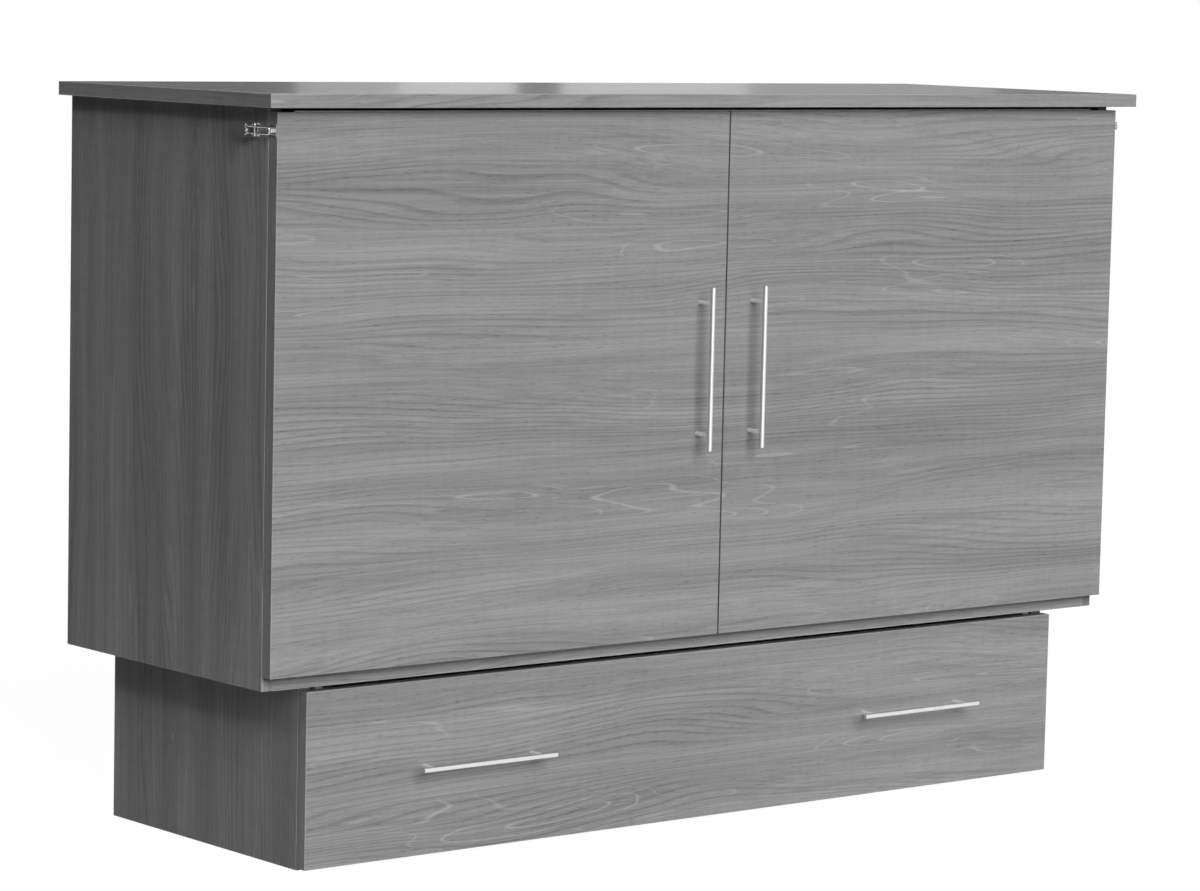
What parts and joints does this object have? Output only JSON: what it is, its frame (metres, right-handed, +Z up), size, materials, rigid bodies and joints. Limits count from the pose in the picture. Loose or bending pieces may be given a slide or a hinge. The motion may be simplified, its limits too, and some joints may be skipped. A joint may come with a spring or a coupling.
{
  "type": "cabinet bed",
  "caption": "Free-standing cabinet bed, closed: a slab-topped box on a narrower base with a rolling drawer, a fold-down front platform and a three-fold mattress inside.",
  "frame": {"origin": "on the floor, at the middle of the whole outline", "axes": "+X to the right seen from the front, +Y to the back, +Z up"},
  "size_m": [1.604, 0.5364, 1.0477],
  "materials": {
    "slab_laminate": "satin wood-grain laminate",
    "board_laminate": "satin wood-grain laminate",
    "front_laminate": "satin wood-grain laminate",
    "drawer_board": "matt",
    "beech": "matt",
    "zinc_screw": "satin",
    "satin_nickel": "satin",
    "hinge_steel": "satin",
    "latch_plating": "polished",
    "caster_steel": "satin",
    "wheel_plastic": "matt",
    "clear_pad": "satin",
    "guide_plastic": "satin",
    "mattress_fabric": "quilted"
  },
  "bodies": {
    "cabinet": {"top_slab": "slab_laminate", "side_panel_left": "board_laminate", "side_panel_right": "board_laminate", "back_panel": "board_laminate", "deck": "board_laminate", "deck_dowels": "beech", "slab_cleat_left": "beech", "slab_cleat_right": "beech", "slab_cleat_screws": "zinc_screw", "base_side_left": "board_laminate", "base_side_right": "board_laminate", "base_back": "board_laminate", "base_screws": "zinc_screw", "drawer_guide_left": "guide_plastic", "drawer_guide_right": "guide_plastic", "front_bumpers": "clear_pad", "front_hinge_deck_leaf": "hinge_steel", "front_hinge_pin": "hinge_steel", "latch_plate_left": "latch_plating", "latch_plate_right": "latch_plating", "latch_pin_left": "latch_plating", "latch_pin_right": "latch_plating", "mattress_section_back": "mattress_fabric", "mattress_section_middle": "mattress_fabric", "mattress_section_front": "mattress_fabric"},
    "front": {"front_panel": "front_laminate", "front_hinge_panel_leaf": "hinge_steel", "foot_hinge_front_leaf": "hinge_steel", "foot_hinge_pin": "hinge_steel", "foot_hinge_foot_leaf": "hinge_steel", "foot_panel": "board_laminate", "front_pull_bars": "satin_nickel", "front_pull_posts": "satin_nickel", "front_pull_screws": "zinc_screw", "latch_keeper_left": "latch_plating", "latch_keeper_right": "latch_plating"},
    "drawer": {"drawer_face": "front_laminate", "drawer_side_left": "drawer_board", "drawer_side_right": "drawer_board", "drawer_back": "drawer_board", "drawer_floor": "drawer_board", "drawer_pull_bars": "satin_nickel", "drawer_pull_posts": "satin_nickel", "drawer_pull_screws": "zinc_screw", "caster_forks": "caster_steel", "caster_axles": "caster_steel"},
    "wheel_front_left": {"wheel_front_left": "wheel_plastic"},
    "wheel_front_right": {"wheel_front_right": "wheel_plastic"},
    "wheel_back_left": {"wheel_back_left": "wheel_plastic"},
    "wheel_back_right": {"wheel_back_right": "wheel_plastic"},
    "latch_lever_left": {"latch_lever_left": "latch_plating"},
    "latch_bail_left": {"latch_bail_left": "latch_plating"},
    "latch_lever_right": {"latch_lever_right": "latch_plating"},
    "latch_bail_right": {"latch_bail_right": "latch_plating"}
  },
  "joints": [
    {"name": "front_fold", "type": "hinge", "parent": "cabinet", "child": "front", "pos_m": [0, -0.21625, 0.27375], "axis": [1, 0, 0], "range_deg": [0, 90]},
    {"name": "drawer_roll", "type": "slide", "parent": "cabinet", "child": "drawer", "axis": [0, -1, 0], "range_m": [0, 1.1]},
    {"name": "wheel_front_left_spin", "type": "hinge", "parent": "drawer", "child": "wheel_front_left", "pos_m": [-0.59, -0.12875, 0.0243], "axis": [1, 0, 0], "continuous": true},
    {"name": "wheel_front_right_spin", "type": "hinge", "parent": "drawer", "child": "wheel_front_right", "pos_m": [0.59, -0.12875, 0.0243], "axis": [1, 0, 0], "continuous": true},
    {"name": "wheel_back_left_spin", "type": "hinge", "parent": "drawer", "child": "wheel_back_left", "pos_m": [-0.59, 0.18125, 0.0243], "axis": [1, 0, 0], "continuous": true},
    {"name": "wheel_back_right_spin", "type": "hinge", "parent": "drawer", "child": "wheel_back_right", "pos_m": [0.59, 0.18125, 0.0243], "axis": [1, 0, 0], "continuous": true},
    {"name": "latch_lever_left_turn", "type": "hinge", "parent": "cabinet", "child": "latch_lever_left", "pos_m": [-0.783, -0.18975, 0.9985], "axis": [0, 0, 1], "range_deg": [0, 95]},
    {"name": "latch_bail_left_turn", "type": "hinge", "parent": "latch_lever_left", "child": "latch_bail_left", "pos_m": [-0.7875, -0.17975, 0.9985], "axis": [0, 0, 1], "range_deg": [-95, 0]},
    {"name": "latch_lever_right_turn", "type": "hinge", "parent": "cabinet", "child": "latch_lever_right", "pos_m": [0.783, -0.18975, 0.9985], "axis": [0, 0, -1], "range_deg": [0, 95]},
    {"name": "latch_bail_right_turn", "type": "hinge", "parent": "latch_lever_right", "child": "latch_bail_right", "pos_m": [0.7875, -0.17975, 0.9985], "axis": [0, 0, -1], "range_deg": [-95, 0]}
  ],
  "couplings": [
    {"joint": "wheel_front_left_spin", "follows": "drawer_roll", "rad_per_m": 41.667},
    {"joint": "wheel_front_right_spin", "follows": "drawer_roll", "rad_per_m": 41.667},
    {"joint": "wheel_back_left_spin", "follows": "drawer_roll", "rad_per_m": 41.667},
    {"joint": "wheel_back_right_spin", "follows": "drawer_roll", "rad_per_m": 41.667},
    {"joint": "latch_bail_left_turn", "follows": "latch_lever_left_turn", "ratio": -1},
    {"joint": "latch_bail_right_turn", "follows": "latch_lever_right_turn", "ratio": -1}
  ]
}
